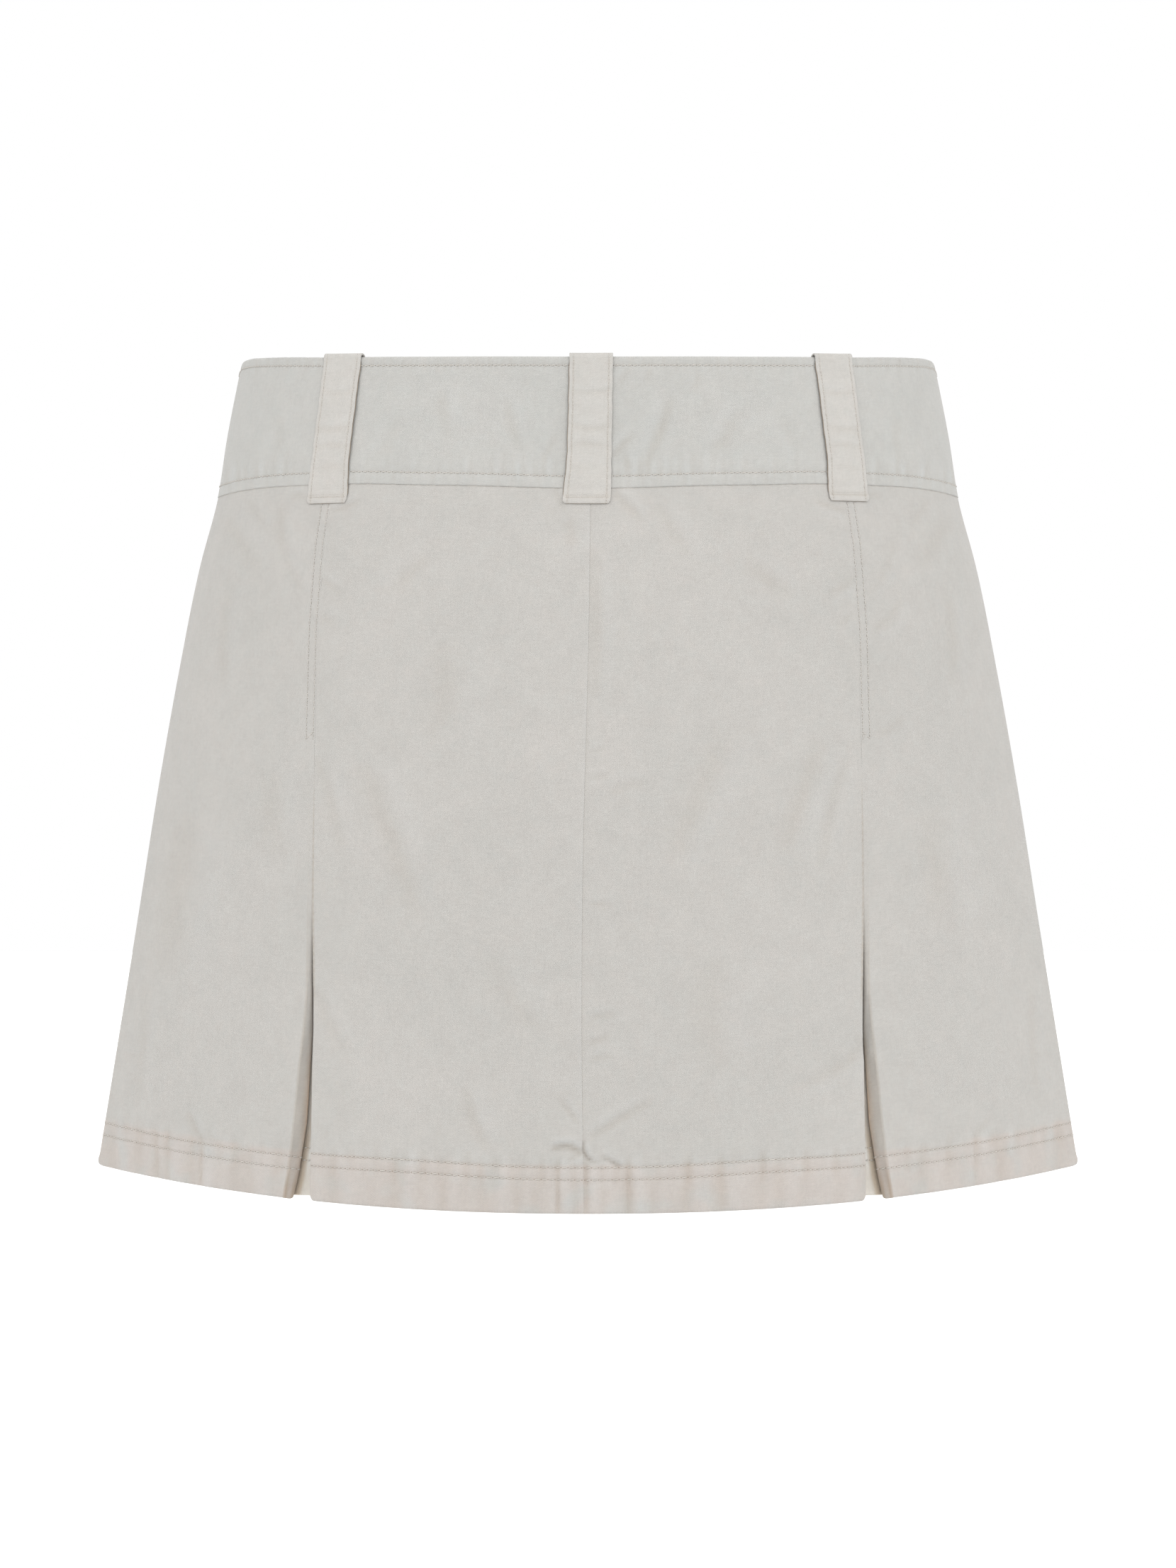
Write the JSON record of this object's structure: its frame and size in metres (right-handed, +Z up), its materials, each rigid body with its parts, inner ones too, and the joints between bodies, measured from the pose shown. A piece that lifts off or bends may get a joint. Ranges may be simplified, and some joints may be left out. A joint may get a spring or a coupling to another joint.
{
  "type": "skort",
  "caption": "Low-waisted mini skort held open as when worn: A-line skirt with a wide looped band and back pleats over plain inner shorts.",
  "frame": {"origin": "the middle of the waist opening, level with the band's top edge, where the wearer's waist holds the garment up", "axes": "+Z up, +X towards the wearer's right, +Y towards the garment's front; the back, with its pleats, faces -Y"},
  "size_m": [0.4254, 0.2285, 0.3622],
  "materials": {
    "stone_twill": "matte washed cotton twill",
    "loop_twill": "matte washed cotton twill, a little lighter",
    "shorts_cotton": "matte light cotton",
    "button_resin": "satin resin"
  },
  "bodies": {
    "root": {"back_centre_left": "stone_twill", "back_centre_right": "stone_twill", "back_side_left": "stone_twill", "back_side_right": "stone_twill", "pleat_underlay_left": "stone_twill", "pleat_underlay_right": "stone_twill", "front_left": "stone_twill", "front_right": "stone_twill", "fly_placket": "stone_twill", "waistband_back": "stone_twill", "waistband_front_left": "stone_twill", "waistband_front_right": "stone_twill", "belt_loop_back_left": "loop_twill", "belt_loop_back_centre": "loop_twill", "belt_loop_back_right": "loop_twill", "belt_loop_front_left": "loop_twill", "belt_loop_front_right": "loop_twill", "shorts_left": "shorts_cotton", "shorts_right": "shorts_cotton", "button_band_upper": "button_resin", "button_band_lower": "button_resin", "button_fly_upper": "button_resin", "button_fly_lower": "button_resin"}
  },
  "joints": []
}
